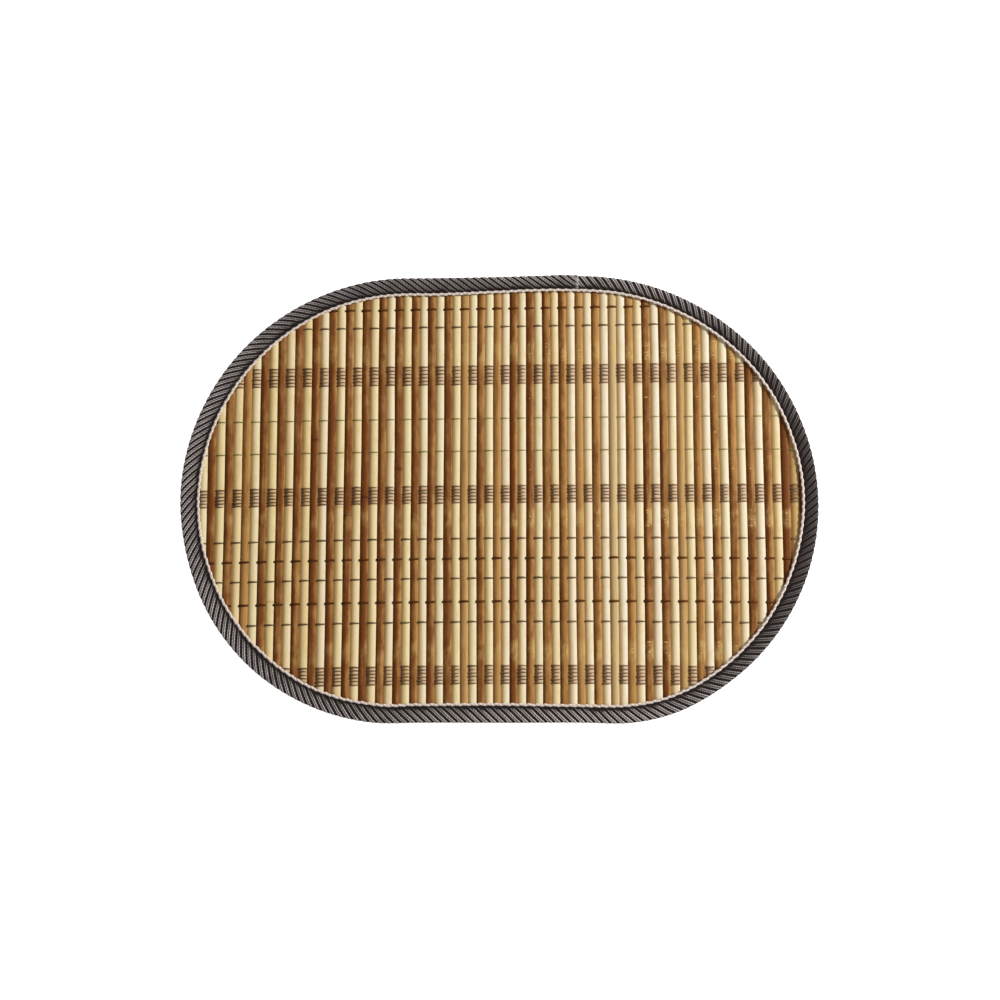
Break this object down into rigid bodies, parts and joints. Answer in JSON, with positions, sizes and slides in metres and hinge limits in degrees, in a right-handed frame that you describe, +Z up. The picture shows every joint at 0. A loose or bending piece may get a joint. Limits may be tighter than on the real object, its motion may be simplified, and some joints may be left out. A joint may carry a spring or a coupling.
{
  "type": "bamboo placemat",
  "caption": "Flat oval table mat of split bamboo slats in two tones, tied by woven threads and bound round the edge with a folded striped tape.",
  "frame": {"origin": "on the surface that the mat lies on, under the middle of the mat", "axes": "+X along the mat's long side, +Y along the slats to the far edge, +Z up through the mat"},
  "size_m": [0.4252, 0.3016, 0.0043],
  "materials": {
    "pale_bamboo": "satin",
    "brown_bamboo": "satin",
    "warp_thread": "matte",
    "binding_tape": "matte",
    "tape_edging": "matte"
  },
  "bodies": {
    "root": {"slat_panel": "pale_bamboo", "edge_binding": "binding_tape"}
  },
  "joints": []
}
